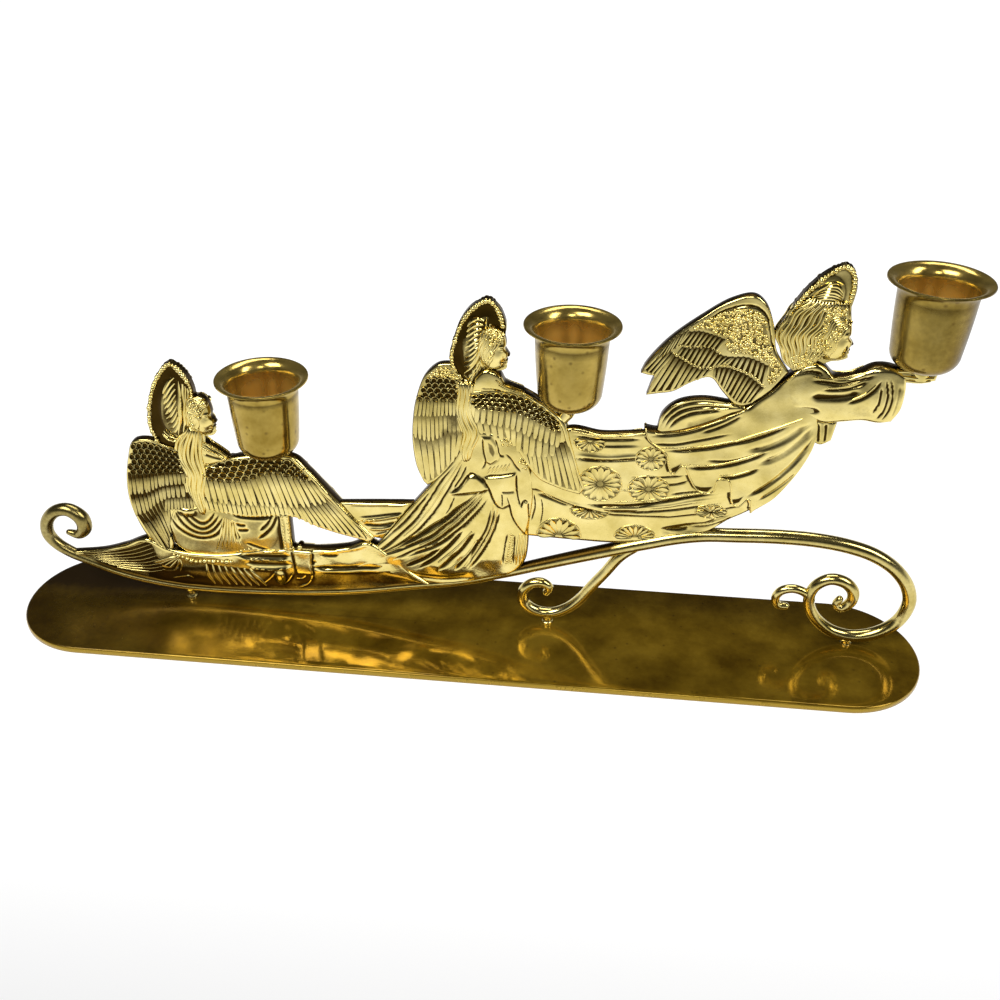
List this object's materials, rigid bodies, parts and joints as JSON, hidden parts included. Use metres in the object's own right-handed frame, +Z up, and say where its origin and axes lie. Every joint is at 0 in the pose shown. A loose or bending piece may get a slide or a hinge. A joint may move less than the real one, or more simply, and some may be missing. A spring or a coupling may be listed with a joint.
{
  "type": "angel candle holder",
  "caption": "Long brass table candle holder: winged, haloed angels in relief on a scrolled sleigh runner over a round-ended base plate, each angel holding a spun cup for a taper candle.",
  "frame": {"origin": "centre of the base plate's footprint, on the table", "axes": "+X along the holder towards the leading angel, +Y to the back, +Z up"},
  "size_m": [0.35, 0.0616, 0.1549],
  "materials": {
    "gilt_brass": "polished gilt relief with dark recesses",
    "plate_brass": "polished plate with brown tarnish and smudges",
    "cup_brass": "spun brass with brown patina",
    "screw_steel": "brass-plated steel"
  },
  "bodies": {
    "stand": {"base_plate": "plate_brass", "base_screw_rear": "screw_steel", "base_screw_middle": "screw_steel", "base_screw_front": "screw_steel", "stud_rear": "gilt_brass", "stud_middle": "gilt_brass", "stud_front": "gilt_brass", "runner_bar": "gilt_brass", "runner_leg": "gilt_brass", "runner_tendril": "gilt_brass", "sleigh_hull": "gilt_brass", "rear_gown": "gilt_brass", "rear_near_wing": "gilt_brass", "rear_far_wing": "gilt_brass", "rear_arm": "gilt_brass", "rear_head": "gilt_brass", "rear_hair": "gilt_brass", "rear_halo": "gilt_brass", "train_end": "gilt_brass", "middle_gown": "gilt_brass", "middle_near_wing": "gilt_brass", "middle_far_wing": "gilt_brass", "middle_bust": "gilt_brass", "middle_head": "gilt_brass", "middle_hair": "gilt_brass", "middle_halo": "gilt_brass", "front_skirt": "gilt_brass", "front_tunic": "gilt_brass", "front_sash": "gilt_brass", "front_wing": "gilt_brass", "front_head": "gilt_brass", "front_hair": "gilt_brass", "front_halo": "gilt_brass", "front_sleeve": "gilt_brass", "front_drape": "gilt_brass", "front_hands": "gilt_brass", "cup_screw_rear": "screw_steel", "cup_screw_middle": "screw_steel", "cup_screw_front": "screw_steel"},
    "rear_cup_body": {"rear_cup": "cup_brass"},
    "middle_cup_body": {"middle_cup": "cup_brass"},
    "front_cup_body": {"front_cup": "cup_brass"}
  },
  "joints": [
    {"name": "rear_cup_turn", "type": "hinge", "parent": "stand", "child": "rear_cup_body", "pos_m": [-0.071, 0.0059, 0.0729], "axis": [0, 0, 1], "continuous": true},
    {"name": "middle_cup_turn", "type": "hinge", "parent": "stand", "child": "middle_cup_body", "pos_m": [0.0381, 0.0059, 0.0991], "axis": [0, 0, 1], "continuous": true},
    {"name": "front_cup_turn", "type": "hinge", "parent": "stand", "child": "front_cup_body", "pos_m": [0.1528, 0.0059, 0.1205], "axis": [0, 0, 1], "continuous": true}
  ]
}
